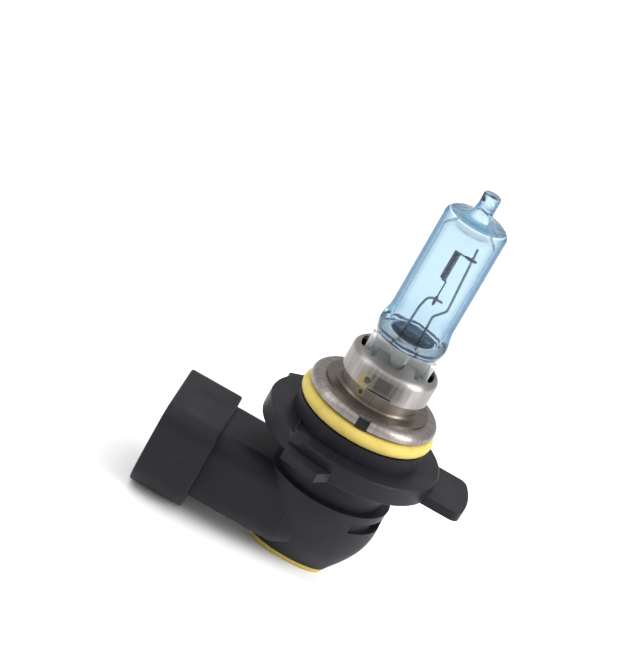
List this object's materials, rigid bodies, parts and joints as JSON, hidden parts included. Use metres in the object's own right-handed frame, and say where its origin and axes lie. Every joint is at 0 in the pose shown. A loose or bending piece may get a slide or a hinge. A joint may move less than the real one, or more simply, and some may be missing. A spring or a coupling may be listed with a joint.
{
  "type": "headlight bulb",
  "caption": "Halogen headlight bulb: blue-tinted glass capsule in a steel focusing cap, on a black right-angle base with a yellow sealing ring, bayonet lugs and a plug shroud.",
  "frame": {"origin": "where the bulb axis meets the seating face of the flange", "axes": "+Z along the bulb axis towards the glass tip; the plug shroud opens along -X and the wide bayonet lug points along +X"},
  "size_m": [0.0487, 0.0331, 0.0701],
  "materials": {
    "tinted_glass": "clear, pale blue interference tint",
    "tungsten": "drawn tungsten wire",
    "support_wire": "drawn molybdenum",
    "foil": "rolled molybdenum",
    "stainless": "pressed, satin",
    "lead_wire": "nickel-plated",
    "fibre_sleeve": "braided glass fibre",
    "black_plastic": "moulded, satin",
    "yellow_rubber": "silicone, satin",
    "yellow_resin": "potted silicone",
    "tinned_brass": "tin-plated"
  },
  "bodies": {
    "root": {"glass_envelope": "tinted_glass", "filament_coil": "tungsten", "long_support": "support_wire", "short_support": "support_wire", "upper_filament_clamp": "support_wire", "lower_filament_clamp": "support_wire", "left_foil": "foil", "right_foil": "foil", "left_outer_lead": "lead_wire", "right_outer_lead": "lead_wire", "left_lead_sleeve": "fibre_sleeve", "right_lead_sleeve": "fibre_sleeve", "capsule_clip": "stainless", "focusing_sleeve": "stainless", "focusing_collar": "stainless", "mounting_ring": "stainless", "sealing_ring": "yellow_rubber", "base_housing": "black_plastic", "front_terminal": "tinned_brass", "rear_terminal": "tinned_brass", "port_plug": "black_plastic", "port_seal": "yellow_resin"}
  },
  "joints": []
}
